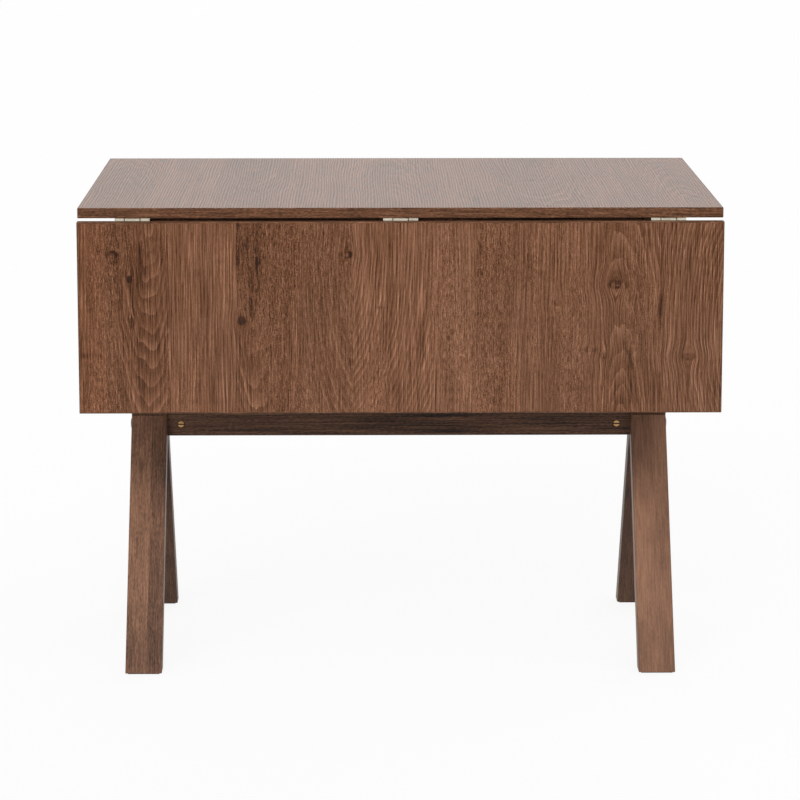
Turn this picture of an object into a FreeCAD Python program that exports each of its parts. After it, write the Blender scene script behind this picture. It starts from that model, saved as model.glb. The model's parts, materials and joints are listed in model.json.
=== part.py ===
import FreeCAD, Part
import os
import re

import Sketcher
from FreeCAD import Placement, Rotation, Vector

# A dining table with one drop leaf. Two X trestles carry a fixed top, and the leaf hangs from
# the top's front edge on three butt hinges. A slotted stay on each trestle holds the raised leaf.
# Millimetres. X runs along the joint, -Y is the leaf's side and Z is up. The floor is Z = 0 and
# the origin is under the middle of the table's outline with the leaf down.

SIZES = (
    ("top_width", 1000, "length of the top and of the leaf along the joint"),
    ("top_depth", 700, "fixed top, from the joint to the rear edge"),
    ("table_height", 750, "floor to the face of the top"),
    ("board_thickness", 16, "top and leaf boards"),
    ("leaf_length", 300, "leaf, from the joint to its free edge"),
    ("band_thickness", 2, "edge bands of the boards"),
    ("band_round", 1.2, "arris of the edge bands"),
    ("joint_gap", 0.6, "top to leaf when the leaf is up"),
    ("knuckle_radius", 3, "hinge knuckle, outside"),
    ("knuckle_clearance", 0.2, "knuckle to the underside of the boards"),
    ("knuckle_gap", 0.8, "between neighbouring knuckles"),
    ("middle_knuckle", 23.5, "length of the leaf plate's knuckle"),
    ("hinge_length", 54, "hinge along its pin"),
    ("hinge_reach", 25, "pin to the far edge of a hinge plate"),
    ("hinge_plate", 1.5, "thickness of a hinge plate"),
    ("plate_corner", 3, "rounded corners of a hinge plate"),
    ("hinge_inset", 85, "end of the joint to the middle of an outer hinge"),
    ("pin_radius", 1.5, "hinge pin"),
    ("running_fit", 0.05, "radial clearance of a pin or rivet in its bore"),
    ("hinge_screw_pitch", 18, "outer hinge screws, from the middle of the plate"),
    ("hinge_screw_far", 18.5, "outer hinge screws, from the pin"),
    ("hinge_screw_near", 11.5, "middle hinge screw, from the pin"),
    ("small_screw_radius", 1.5, "hinge and bracket screws"),
    ("small_screw_head", 2.8, "radius of their countersunk heads"),
    ("small_screw_sink", 1.3, "height of their countersunk heads"),
    ("small_screw_length", 12, "their whole length"),
    ("screw_tip", 3, "pointed end of a screw"),
    ("hole_clearance", 0.1, "radial clearance of a screw or nut in its hole"),
    ("trestle_inset", 62, "end of the top to the outer face of a trestle"),
    ("leg_width", 58, "leg along X"),
    ("leg_thickness", 32, "leg across its length, in the plane of the X"),
    ("leg_round", 2, "arris of the legs"),
    ("foot_spread", 474, "between the centre lines of a trestle's legs, at the floor"),
    ("head_spread", 403, "between the centre lines of a trestle's legs, at their tops"),
    ("lap_clearance", 0.1, "shoulders of the half-lap"),
    ("pad_thickness", 2, "felt pad under a foot"),
    ("pad_inset", 4, "edge of a foot to its felt pad"),
    ("bearer_height", 40, "bearers on the leg tops"),
    ("bearer_setback", 33, "hinge pin to the front ends of the bearers"),
    ("bearer_overhang", 24.5, "leg top to the end of a bearer"),
    ("bearer_chamfer", 14, "lower corners of the bearers' ends"),
    ("rail_height", 40, "front and rear rails under the top"),
    ("rail_inset", 8, "bearer's end to the face of a rail"),
    ("rail_thickness", 22, "rails and stretcher, front to rear"),
    ("rail_round", 1.5, "arris of the rails and the stretcher"),
    ("stretcher_height", 70, "stretcher at the crossing of the legs"),
    ("bolt_radius", 3, "connecting bolts"),
    ("bolt_clearance", 0.5, "radial clearance of a bolt in wood"),
    ("bolt_reach", 34, "bolt, past the inner face of a trestle"),
    ("bolt_head_radius", 8, "flat head of a bolt"),
    ("bolt_head_height", 2.5, "flat head of a bolt"),
    ("bolt_head_chamfer", 0.8, "rim of a bolt's head"),
    ("bolt_socket", 2.4, "hexagon socket, middle to corner"),
    ("bolt_spacing", 32, "the stretcher's two bolts, one above the other"),
    ("nut_radius", 5, "barrel nuts"),
    ("nut_length", 15, "barrel nuts"),
    ("nut_setback", 22, "end of a rail to the nut's axis"),
    ("nut_recess", 0.8, "face of a rail to the nut's end"),
    ("nut_mouth", 1.5, "chamfer round the mouth of a nut's hole"),
    ("nut_slot_width", 2, "slot in a nut's end"),
    ("nut_slot_depth", 2.5, "slot in a nut's end"),
    ("long_screw_radius", 2.2, "screws of the bearers and the rails"),
    ("long_screw_head", 4.4, "radius of their countersunk heads"),
    ("long_screw_sink", 2.4, "height of their countersunk heads"),
    ("top_screw_length", 45, "screws into the top"),
    ("top_screw_bite", 11, "depth of those screws in the top"),
    ("bearer_screw_inset", 125, "end of a bearer to its screw into the top"),
    ("rail_screw_inset", 130, "end of a rail to its outer screw into the top"),
    ("leg_screw_bite", 35, "depth of the bearers' screws in a leg"),
    ("leg_screw_offset", 14, "those screws, from the middle of a leg"),
    ("stay_drop", 76, "hinge pin down to the stud of a stay"),
    ("pivot_standoff", 12, "leaf's underside to the pivot of a stay"),
    ("arm_width", 18, "slotted arm of a stay"),
    ("arm_thickness", 3, "slotted arm of a stay"),
    ("arm_side_gap", 1.5, "inner face of a trestle to an arm"),
    ("slot_clearance", 0.3, "radial clearance of the stud in the slot"),
    ("notch_depth", 3, "seat above the slot's far end"),
    ("stay_play", 0.15, "side play of the stays"),
    ("stud_radius", 3, "shoulder of the stud"),
    ("stud_thread", 2.5, "radius of the stud in the leg"),
    ("stud_bite", 25, "depth of the stud in the leg"),
    ("stud_head_radius", 7, "head of the stud, and its washer"),
    ("stud_head_height", 2.5, "head of the stud"),
    ("rivet_radius", 2.5, "pivot rivet"),
    ("rivet_head_radius", 5, "heads of the rivet"),
    ("rivet_head_height", 1.5, "heads of the rivet"),
    ("bracket_plate", 2, "thickness of a stay's leaf bracket"),
    ("bracket_length", 38, "leaf bracket, along the leaf"),
    ("bracket_foot", 24, "leaf bracket, along X"),
    ("bracket_ear", 8, "round end of the bracket's ear"),
    ("bracket_screw_offset", 12, "bracket screws, from the pivot along the leaf"),
)

LAYOUT = (
    ("axis_drop", "knuckle_radius + knuckle_clearance", "undersides to the hinge axis"),
    ("hinge_y", "(axis_drop + board_thickness - top_depth - joint_gap / 2) / 2", "hinge axis"),
    ("under_z", "table_height - board_thickness", "underside of the top"),
    ("hinge_z", "under_z - axis_drop", "hinge axis"),
    ("top_front_y", "hinge_y + joint_gap / 2", "front edge of the top"),
    ("top_rear_y", "top_front_y + top_depth", "rear edge of the top"),
    ("leaf_back_y", "hinge_y - axis_drop", "underside of the hanging leaf"),
    ("leaf_front_y", "leaf_back_y - board_thickness", "face of the hanging leaf"),
    ("leaf_joint_z", "hinge_z - joint_gap / 2", "joint edge of the hanging leaf"),
    ("leaf_free_z", "leaf_joint_z - leaf_length", "free edge of the hanging leaf"),
    ("hinge_offset", "top_width / 2 - hinge_inset", "outer hinges, from the middle of the joint"),
    ("trestle_outer_x", "top_width / 2 - trestle_inset", "outer face of a trestle"),
    ("trestle_inner_x", "trestle_outer_x - leg_width", "inner face of a trestle"),
    ("trestle_x", "trestle_outer_x - leg_width / 2", "middle of a trestle"),
    ("leg_top_z", "under_z - bearer_height", "top of the legs"),
    ("lean", "(foot_spread + head_spread) / 2 / leg_top_z", "run of a leg for each unit of height"),
    ("leg_cut", "leg_thickness * sqrt(1 + lean ^ 2)", "level cut through a leg, front to rear"),
    ("crossing_height", "foot_spread / 2 / lean", "floor to the crossing of the legs"),
    ("bearer_length", "head_spread + leg_cut + 2 * bearer_overhang", "bearers, front to rear"),
    ("bearer_front_y", "hinge_y + bearer_setback", "front end of the bearers"),
    ("bearer_rear_y", "bearer_front_y + bearer_length", "rear end of the bearers"),
    ("trestle_y", "(bearer_front_y + bearer_rear_y) / 2", "middle of the trestles"),
    ("bearer_screw_offset", "bearer_length / 2 - bearer_screw_inset", "from a trestle's middle"),
    ("rail_screw_offset", "trestle_inner_x - rail_screw_inset", "from a rail's middle"),
    ("front_rail_y", "bearer_front_y + rail_inset + rail_thickness / 2", "middle of the front rail"),
    ("rear_rail_y", "bearer_rear_y - rail_inset - rail_thickness / 2", "middle of the rear rail"),
    ("rail_z", "under_z - rail_height / 2", "middle of the rails"),
    ("stud_z", "hinge_z - stay_drop", "stud, on a leg's centre line"),
    ("stud_y", "trestle_y - (stud_z - crossing_height) * lean", "stud, on a leg's centre line"),
    ("stay_radius", "sqrt((stud_y - hinge_y) ^ 2 + stay_drop ^ 2)", "hinge axis to stud and to pivot"),
    ("pivot_y", "leaf_back_y + pivot_standoff", "pivot on the hanging leaf"),
    ("pivot_z", "hinge_z - sqrt(stay_radius ^ 2 - (pivot_y - hinge_y) ^ 2)", "pivot on the hanging leaf"),
    ("raised_y", "hinge_y - (hinge_z - pivot_z)", "pivot with the leaf up"),
    ("raised_z", "hinge_z - (pivot_y - hinge_y)", "pivot with the leaf up"),
    ("slot_near", "sqrt((stud_y - pivot_y) ^ 2 + (stud_z - pivot_z) ^ 2)", "pivot to stud, leaf down"),
    ("slot_far", "sqrt((stud_y - raised_y) ^ 2 + (stud_z - raised_z) ^ 2)", "pivot to stud, leaf up"),
    ("stay_turn", "atan2(stud_z - pivot_z; stud_y - pivot_y)", "slope of an arm, leaf down"),
    ("arm_outer_x", "trestle_inner_x - arm_side_gap", "outer face of an arm"),
    ("arm_inner_x", "arm_outer_x - arm_thickness", "inner face of an arm"),
    ("ear_outer_x", "arm_inner_x - stay_play", "outer face of a bracket's ear"),
)

HOME = {alias: "Sizes" for alias, number, note in SIZES}
HOME.update({alias: "Layout" for alias, formula, note in LAYOUT})
WORD = re.compile(r"[a-z_]+[a-z0-9_]*")

# Left and right as seen from the leaf's side, with the sign of X.
SIDES = (("left", -1), ("right", 1))

# Turns that point a fastener's own Z axis along an axis of the table.
UP = Rotation()
DOWN = Rotation(Vector(1, 0, 0), 180)
FRONT = Rotation(Vector(1, 0, 0), 90)
REAR = Rotation(Vector(1, 0, 0), -90)
RIGHT = Rotation(Vector(0, 1, 0), 90)
LEFT = Rotation(Vector(0, 1, 0), -90)
OUTWARD = {-1: LEFT, 1: RIGHT}
INWARD = {-1: RIGHT, 1: LEFT}

# Turns a hinge plate from under the top to behind the hanging leaf.
HANGING = Rotation(Vector(-1, 0, 0), Vector(0, 0, -1), Vector(0, -1, 0), "XYZ")

EDGE_TOLERANCE = 0.01


# The spreadsheets, and the expressions that read them.

doc = FreeCAD.newDocument("DropLeafTable")
nodes = []


def spelled_out(expression, own_sheet=""):
    """The expression with each alias led by the name of its sheet."""

    def with_sheet(match):
        home = HOME.get(match[0], own_sheet)
        return match[0] if home == own_sheet else home + "." + match[0]

    return WORD.sub(with_sheet, str(expression))


def fill_sheet(name, rows):
    """A sheet with an alias, a value and a note in each row."""
    sheet = doc.addObject("Spreadsheet::Sheet", name)
    for row, (alias, content, note) in enumerate(rows, start=1):
        formula = isinstance(content, str)
        sheet.set("A%d" % row, alias)
        sheet.set("B%d" % row, "=" + spelled_out(content, name) if formula else str(content))
        sheet.setAlias("B%d" % row, alias)
        sheet.set("C%d" % row, note)
    doc.recompute()
    return sheet


sizes = fill_sheet("Sizes", SIZES)
fill_sheet("Layout", LAYOUT)


def value(expression):
    """The number that an expression has now."""
    result = sizes.evalExpression(spelled_out(expression))
    return getattr(result, "Value", result)


def bind(thing, **expressions):
    for name, expression in expressions.items():
        thing.setExpression(name, spelled_out(expression))


def place(thing, x, y, z, turn=UP):
    thing.Placement = Placement(Vector(), turn)
    for axis, expression in zip("xyz", (x, y, z)):
        thing.setExpression(".Placement.Base." + axis, spelled_out(expression))


def node(label, thing):
    """Register an object as a finished sub-part."""
    thing.Label = label
    nodes.append(thing)
    return thing


# Sketches and features.


def new_body(name):
    return doc.addObject("PartDesign::Body", name)


def origin_feature(body, role):
    return next(feature for feature in body.Origin.OriginFeatures if feature.Role == role)


def new_sketch(body, role, lift="0"):
    """An empty sketch on an origin plane of its body, lifted along the plane's normal."""
    sketch = body.newObject("Sketcher::SketchObject", body.Name + "Sketch")
    sketch.AttachmentSupport = [(origin_feature(body, role), "")]
    sketch.MapMode = "FlatFace"
    sketch.setExpression("AttachmentOffset.Base.z", spelled_out(lift))
    return sketch


def constrain(sketch, kind, *where, size):
    index = sketch.addConstraint(Sketcher.Constraint(kind, *where, value(size)))
    sketch.setExpression("Constraints[%d]" % index, spelled_out(size))


def fix_point(sketch, geometry, point, across, up):
    constrain(sketch, "DistanceX", -1, 1, geometry, point, size=across)
    constrain(sketch, "DistanceY", -1, 1, geometry, point, size=up)


def at(across, up):
    return Vector(value(across), value(up), 0)


def polygon(body, role, corners, lift="0"):
    """A closed outline through corners, each a pair of expressions."""
    sketch = new_sketch(body, role, lift)
    following = corners[1:] + corners[:1]
    for start, end in zip(corners, following):
        sketch.addGeometry(Part.LineSegment(at(*start), at(*end)), False)
    for index, corner in enumerate(corners):
        sketch.addConstraint(Sketcher.Constraint("Coincident", index, 2, (index + 1) % len(corners), 1))
        fix_point(sketch, index, 1, *corner)
    return sketch


def rectangle(body, role, across, up, lift="0"):
    low, high = across
    bottom, top = up
    return polygon(body, role, [(low, bottom), (high, bottom), (high, top), (low, top)], lift)


def circle(body, role, centre, radius):
    sketch = new_sketch(body, role)
    sketch.addGeometry(Part.Circle(at(*centre), Vector(0, 0, 1), value(radius)), False)
    fix_point(sketch, 0, 3, *centre)
    constrain(sketch, "Radius", 0, size=radius)
    return sketch


def round_slot(body, role, start, end, radius):
    """A straight outline with a half circle about each end."""
    sketch = new_sketch(body, role)
    first, last = at(*start), at(*end)
    along = (last - first).normalize() * value(radius)
    aside = Vector(-along.y, along.x, 0)
    sketch.addGeometry(Part.Arc(first + aside, first - along, first - aside), False)
    sketch.addGeometry(Part.LineSegment(first - aside, last - aside), False)
    sketch.addGeometry(Part.Arc(last - aside, last + along, last + aside), False)
    sketch.addGeometry(Part.LineSegment(last + aside, first + aside), False)
    for index in range(4):
        sketch.addConstraint(Sketcher.Constraint("Tangent", index, 2, (index + 1) % 4, 1))
    fix_point(sketch, 0, 3, *start)
    fix_point(sketch, 2, 3, *end)
    constrain(sketch, "Radius", 0, size=radius)
    return sketch


def pad(body, sketch, length, symmetric=False, backward=False):
    feature = body.newObject("PartDesign::Pad", body.Name + "Pad")
    feature.Profile = sketch
    feature.SideType = "Symmetric" if symmetric else "One side"
    feature.Reversed = backward
    bind(feature, Length=length)
    doc.recompute()
    return feature


def pocket(body, sketch, length, symmetric=False, forward=False):
    """Cut a sketch out of the body. A pocket that takes nothing away is an error."""
    before = body.Shape.Volume
    feature = body.newObject("PartDesign::Pocket", body.Name + "Pocket")
    feature.Profile = sketch
    feature.SideType = "Symmetric" if symmetric else "One side"
    feature.Reversed = forward
    bind(feature, Length=length)
    doc.recompute()
    if body.Shape.Volume >= before:
        raise ValueError(body.Label + ": a pocket cuts nothing")
    return feature


def soften(body, radius, chosen):
    """Round the edges that a test chooses."""
    doc.recompute()
    base = body.Tip
    names = ["Edge%d" % index for index, edge in enumerate(base.Shape.Edges, start=1) if chosen(edge)]
    feature = body.newObject("PartDesign::Fillet", body.Name + "Fillet")
    feature.Base = (base, names)
    bind(feature, Radius=radius)
    return feature


def runs_along(edge, axis):
    return abs(edge.tangentAt(edge.FirstParameter)[axis]) > 1 - EDGE_TOLERANCE


def leans(edge):
    return not any(runs_along(edge, axis) for axis in range(3))


def block(name, x, y, z):
    """A board between a low and a high expression on each axis, with its own low corner as origin."""
    body = new_body(name)
    box = body.newObject("PartDesign::AdditiveBox", name + "Box")
    for side, (low, high) in zip(("Length", "Width", "Height"), (x, y, z)):
        box.setExpression(side, spelled_out("%s - (%s)" % (high, low)))
    place(body, x[0], y[0], z[0])
    doc.recompute()
    return body


def sided(side, low, high):
    """A low and high expression on the right, mirrored for the left."""
    return (low, high) if side > 0 else ("-(%s)" % high, "-(%s)" % low)


def turned(name, profile):
    """A turned piece about its own Z axis, from (radius, height) pairs."""
    body = new_body(name)
    feature = body.newObject("PartDesign::Revolution", name + "Turned")
    feature.Profile = polygon(body, "XZ_Plane", profile)
    feature.ReferenceAxis = (origin_feature(body, "Z_Axis"), [""])
    feature.Angle = 360
    doc.recompute()
    return body


def scatter(name, pattern, places):
    """A group of separate copies of one piece, each place (x, y, z, turn)."""
    copies = []
    for x, y, z, turn in places:
        copy = doc.addObject("App::Link", name + "Copy")
        copy.LinkedObject = pattern
        place(copy, x, y, z, turn)
        copies.append(copy)
    group = doc.addObject("Part::Compound", name)
    group.Links = copies
    return group


def fastened(label, pattern, bore, places):
    """A node of equal fasteners. Returns the group of holes that they need."""
    node(label, scatter(label, pattern, places))
    return scatter(label + "_holes", bore, places)


def drilled(label, blank, *holes):
    """A sub-part with groups of holes cut out of its blank."""
    for group in holes:
        cut = doc.addObject("Part::Cut", label + "_drilled")
        cut.Base = blank
        cut.Tool = group
        blank = cut
    return node(label, blank)


# Fasteners, each with the hole that it needs.


def countersunk(name, radius, head, sink, length):
    return turned(name, [
        ("0", "0"), (head, "0"), (radius, sink), (radius, "%s - screw_tip" % length), ("0", length),
    ])


def countersunk_hole(name, radius, head, sink, length, counterbore="hole_clearance"):
    """A screw's hole, with a wider straight part of the counterbore's depth above its head."""
    wide = "%s + hole_clearance" % head
    narrow = "%s + hole_clearance" % radius
    return turned(name, [
        ("0", "-(%s)" % counterbore), (wide, "-(%s)" % counterbore), (wide, "0"),
        (narrow, sink), (narrow, length), ("0", length),
    ])


def flat_head_bolt():
    """A bolt with a low round head and a hexagon socket, its head's seat at Z = 0."""
    body = turned("Bolt", [
        ("0", "-bolt_head_height"), ("bolt_head_radius - bolt_head_chamfer", "-bolt_head_height"),
        ("bolt_head_radius", "bolt_head_chamfer - bolt_head_height"), ("bolt_head_radius", "0"),
        ("bolt_radius", "0"), ("bolt_radius", "leg_width + bolt_reach"), ("0", "leg_width + bolt_reach"),
    ])
    corners = [
        ("bolt_socket * cos(%d)" % turn, "bolt_socket * sin(%d)" % turn) for turn in range(0, 360, 60)
    ]
    pocket(body, polygon(body, "XY_Plane", corners), "bolt_head_height")
    return body


def bolt_hole():
    radius = "bolt_radius + bolt_clearance"
    depth = "leg_width + bolt_reach + bolt_clearance"
    return turned("BoltHole", [("0", "0"), (radius, "0"), (radius, depth), ("0", depth)])


def barrel_nut():
    """A slotted barrel with a cross hole for the bolt, its slotted end at Z = 0."""
    body = turned("BarrelNut", [
        ("0", "-nut_length"), ("nut_radius", "-nut_length"), ("nut_radius", "0"), ("0", "0"),
    ])
    half_slot = "nut_slot_width / 2"
    slot = rectangle(body, "XY_Plane", ("-nut_radius", "nut_radius"), ("-" + half_slot, half_slot))
    pocket(body, slot, "nut_slot_depth")
    cross = circle(body, "YZ_Plane", ("0", "nut_recess - rail_thickness / 2"), "bolt_radius + hole_clearance")
    pocket(body, cross, "4 * nut_radius", symmetric=True)
    return body


def nut_hole():
    """The blind hole of a barrel nut, with a chamfer at the face of its rail."""
    radius = "nut_radius + hole_clearance"
    mouth = "nut_radius + hole_clearance + nut_mouth"
    outside = "nut_recess + nut_mouth"
    return turned("BarrelNutHole", [
        ("0", "-nut_length"), (radius, "-nut_length"), (radius, "nut_recess - nut_mouth"),
        (mouth, "nut_recess"), (mouth, outside), ("0", outside),
    ])


small_screw_sizes = ("small_screw_radius", "small_screw_head", "small_screw_sink", "small_screw_length")
small_screw = countersunk("SmallScrew", *small_screw_sizes)
small_screw_hole = countersunk_hole("SmallScrewHole", *small_screw_sizes)

top_screw_sizes = ("long_screw_radius", "long_screw_head", "long_screw_sink", "top_screw_length")
top_screw = countersunk("TopScrew", *top_screw_sizes)
bearer_sink = "bearer_height + top_screw_bite - top_screw_length"
rail_sink = "rail_height + top_screw_bite - top_screw_length"
bearer_screw_hole = countersunk_hole("BearerScrewHole", *top_screw_sizes, counterbore=bearer_sink)
rail_screw_hole = countersunk_hole("RailScrewHole", *top_screw_sizes, counterbore=rail_sink)

leg_screw_length = "(bearer_height + leg_screw_bite)"
leg_screw_sizes = ("long_screw_radius", "long_screw_head", "long_screw_sink", leg_screw_length)
leg_screw = countersunk("LegScrew", *leg_screw_sizes)
leg_screw_hole = countersunk_hole("LegScrewHole", *leg_screw_sizes)

bolt = flat_head_bolt()
bolt_bore = bolt_hole()
nut = barrel_nut()
nut_bore = nut_hole()


# Places of the fasteners.

HINGES = (("left", "-hinge_offset"), ("middle", "0"), ("right", "hinge_offset"))
SCREWS_OF_A_PLATE = (
    ("-hinge_screw_pitch", "hinge_screw_far"),
    ("0", "hinge_screw_near"),
    ("hinge_screw_pitch", "hinge_screw_far"),
)
UPPER_RAILS = (("front", "front_rail_y", REAR, 1), ("rear", "rear_rail_y", FRONT, -1))
bracket_screw_x = "ear_outer_x - (bracket_plate + bracket_foot) / 2"

hinge_screw_spots = [
    ("%s + %s" % (hinge_x, along), away) for hinge, hinge_x in HINGES for along, away in SCREWS_OF_A_PLATE
]
top_hinge_holes = fastened("hinge_top_screws", small_screw, small_screw_hole, [
    (x, "hinge_y + %s" % away, "under_z - hinge_plate", UP) for x, away in hinge_screw_spots
])
leaf_hinge_holes = fastened("hinge_leaf_screws", small_screw, small_screw_hole, [
    (x, "leaf_back_y + hinge_plate", "hinge_z - %s" % away, FRONT) for x, away in hinge_screw_spots
])
bracket_holes = fastened("stay_bracket_screws", small_screw, small_screw_hole, [
    ("%d * (%s)" % (side, bracket_screw_x), "leaf_back_y + bracket_plate",
     "pivot_z + %d * bracket_screw_offset" % step, FRONT)
    for name, side in SIDES for step in (-1, 1)
])
bearer_holes = fastened("bearer_screws", top_screw, bearer_screw_hole, [
    ("%d * trestle_x" % side, "trestle_y + %d * bearer_screw_offset" % step,
     "under_z + top_screw_bite - top_screw_length", UP)
    for name, side in SIDES for step in (-1, 1)
])
rail_holes = fastened("rail_screws", top_screw, rail_screw_hole, [
    ("%d * rail_screw_offset" % step, rail_y, "under_z + top_screw_bite - top_screw_length", UP)
    for name, rail_y, facing, inside in UPPER_RAILS for step in (-1, 0, 1)
])
# A leg leans, so its screws enter where they stay closest to its centre line.
leg_screw_run = "(leg_top_z - leg_screw_bite / 2 - crossing_height) * lean"
leg_screw_holes = fastened("leg_screws", leg_screw, leg_screw_hole, [
    ("%d * trestle_x + %d * leg_screw_offset" % (side, step), "trestle_y + %d * %s" % (end, leg_screw_run),
     "under_z", DOWN)
    for name, side in SIDES for end in (-1, 1) for step in (-1, 1)
])
stretcher_bolt_holes = fastened("stretcher_bolts", bolt, bolt_bore, [
    ("%d * trestle_outer_x" % side, "trestle_y",
     "crossing_height + %d * bolt_spacing / 2" % step, INWARD[side])
    for name, side in SIDES for step in (-1, 1)
])
stretcher_nut_holes = fastened("stretcher_barrel_nuts", nut, nut_bore, [
    ("%d * (trestle_inner_x - nut_setback)" % side, "trestle_y - rail_thickness / 2 + nut_recess",
     "crossing_height + %d * bolt_spacing / 2" % step, FRONT)
    for name, side in SIDES for step in (-1, 1)
])
rail_bolt_holes = fastened("rail_bolts", bolt, bolt_bore, [
    ("%d * trestle_outer_x" % side, rail_y, "rail_z", INWARD[side])
    for name, side in SIDES for rail, rail_y, facing, inside in UPPER_RAILS
])
rail_nut_holes = fastened("rail_barrel_nuts", nut, nut_bore, [
    ("%d * (trestle_inner_x - nut_setback)" % side,
     "%s + %d * (rail_thickness / 2 - nut_recess)" % (rail_y, inside), "rail_z", facing)
    for name, side in SIDES for rail, rail_y, facing, inside in UPPER_RAILS
])


# Boards with their edge bands.


def edge_band(label, x, y, z, glued, butted=None):
    """A band on a board's edge. Glued is (axis, end) of its face on the board, and butted the axis
    of ends that meet other bands. Its other arrises are rounded."""
    body = block(label, x, y, z)
    axis, end = glued
    low, high = (x, y, z)[axis]
    level = value("%s - (%s)" % (high, low)) if end == "high" else 0

    def outside(edge):
        on_board = abs(edge.CenterOfMass[axis] - level) < EDGE_TOLERANCE
        return not on_board and (butted is None or runs_along(edge, butted))

    soften(body, "band_round", outside)
    return node(label, body)


def make_top():
    across = ("-top_width / 2", "top_width / 2")
    core_x = ("-top_width / 2 + band_thickness", "top_width / 2 - band_thickness")
    core_y = ("top_front_y + band_thickness", "top_rear_y - band_thickness")
    thick = ("under_z", "table_height")
    blank = block("TopCore", core_x, core_y, thick)
    drilled("top_panel", blank, top_hinge_holes, bearer_holes, rail_holes)
    edge_band("top_front_band", across, ("top_front_y", core_y[0]), thick, (1, "high"))
    edge_band("top_rear_band", across, (core_y[1], "top_rear_y"), thick, (1, "low"))
    edge_band("top_left_band", (across[0], core_x[0]), core_y, thick, (0, "high"), butted=1)
    edge_band("top_right_band", (core_x[1], across[1]), core_y, thick, (0, "low"), butted=1)


def make_leaf():
    across = ("-top_width / 2", "top_width / 2")
    core_x = ("-top_width / 2 + band_thickness", "top_width / 2 - band_thickness")
    core_z = ("leaf_free_z + band_thickness", "leaf_joint_z - band_thickness")
    thick = ("leaf_front_y", "leaf_back_y")
    blank = block("LeafCore", core_x, thick, core_z)
    drilled("leaf_panel", blank, leaf_hinge_holes, bracket_holes)
    edge_band("leaf_joint_band", across, thick, (core_z[1], "leaf_joint_z"), (2, "low"))
    edge_band("leaf_free_band", across, thick, ("leaf_free_z", core_z[0]), (2, "high"))
    edge_band("leaf_left_band", (across[0], core_x[0]), thick, core_z, (0, "high"), butted=2)
    edge_band("leaf_right_band", (core_x[1], across[1]), thick, core_z, (0, "low"), butted=2)


# Butt hinges.


def plate_blank(name, end_y, middle_y, step):
    """A hinge plate's flat, from its far edge to the pin, with the knuckles' ends or their gap cut out.
    The pin lies on the body's X axis, and the flat's upper face is on the board."""
    body = new_body(name)
    half = "hinge_length / 2"
    outline = [
        ("-" + half, end_y), ("-(%s)" % step, end_y), ("-(%s)" % step, middle_y),
        (step, middle_y), (step, end_y), (half, end_y), (half, "hinge_reach"), ("-" + half, "hinge_reach"),
    ]
    flat = polygon(body, "XY_Plane", outline, lift="axis_drop - hinge_plate")
    pad(body, flat, "hinge_plate")
    far = value("hinge_reach")

    def far_corner(edge):
        return runs_along(edge, 2) and abs(edge.CenterOfMass.y - far) < EDGE_TOLERANCE

    soften(body, "plate_corner", far_corner)
    return body


def bore_knuckles(body):
    pin_bore = circle(body, "YZ_Plane", ("0", "0"), "pin_radius + running_fit")
    pocket(body, pin_bore, "2 * hinge_length", symmetric=True)


def top_plate(name):
    """The plate under the top, with a knuckle at each end of the pin."""
    gap = "middle_knuckle / 2 + knuckle_gap"
    body = plate_blank(name, "0", "knuckle_radius + knuckle_gap", gap)
    pad(body, circle(body, "YZ_Plane", ("0", "0"), "knuckle_radius"), "hinge_length", symmetric=True)
    room = circle(body, "YZ_Plane", ("0", "0"), "knuckle_radius + knuckle_gap")
    pocket(body, room, "2 * (%s)" % gap, symmetric=True)
    bore_knuckles(body)
    return body


def leaf_plate(name):
    """The plate behind the leaf, with the long knuckle in the middle of the pin."""
    body = plate_blank(name, "knuckle_radius + knuckle_gap", "0", "middle_knuckle / 2")
    pad(body, circle(body, "YZ_Plane", ("0", "0"), "knuckle_radius"), "middle_knuckle", symmetric=True)
    bore_knuckles(body)
    return body


def make_hinges():
    for hinge, hinge_x in HINGES:
        upper = top_plate(hinge + "TopPlate")
        place(upper, hinge_x, "hinge_y", "hinge_z")
        drilled(hinge + "_hinge_top_plate", upper, top_hinge_holes)
        lower = leaf_plate(hinge + "LeafPlate")
        place(lower, hinge_x, "hinge_y", "hinge_z", HANGING)
        drilled(hinge + "_hinge_leaf_plate", lower, leaf_hinge_holes)
        pin = doc.addObject("Part::Cylinder", hinge + "_hinge_pin")
        bind(pin, Radius="pin_radius", Height="hinge_length")
        place(pin, "%s - hinge_length / 2" % hinge_x, "hinge_y", "hinge_z", RIGHT)
        node(hinge + "_hinge_pin", pin)


# Trestles, with the studs of the stays on their upper front arms.


def leg_blank(name, side, forward):
    """A leg whose foot is at the front where forward is -1. Its origin is the crossing. The front leg
    gives up its inner half at the lap, and the rear leg its outer half."""
    body = new_body(name)
    foot = "(pad_thickness - crossing_height)"
    head = "(leg_top_z - crossing_height)"

    def edge_at(height, lean_sign, half):
        return "%d * lean * %s + %s" % (lean_sign, height, half)

    half = "leg_cut / 2"
    outline = polygon(body, "YZ_Plane", [
        (edge_at(foot, -forward, "-" + half), foot), (edge_at(foot, -forward, half), foot),
        (edge_at(head, -forward, half), head), (edge_at(head, -forward, "-" + half), head),
    ])
    pad(body, outline, "leg_width", symmetric=True)
    soften(body, "leg_round", leans)
    reach = "(leg_cut / lean)"
    shoulder = "(leg_cut / 2 + lap_clearance)"
    lap = polygon(body, "YZ_Plane", [
        (edge_at("-" + reach, forward, "-" + shoulder), "-" + reach),
        (edge_at("-" + reach, forward, shoulder), "-" + reach),
        (edge_at(reach, forward, shoulder), reach),
        (edge_at(reach, forward, "-" + shoulder), reach),
    ])
    doc.recompute()
    gives_up_right_half = side * forward > 0
    pocket(body, lap, "leg_width", forward=gives_up_right_half)
    place(body, "%d * trestle_x" % side, "trestle_y", "crossing_height")
    return body


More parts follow.
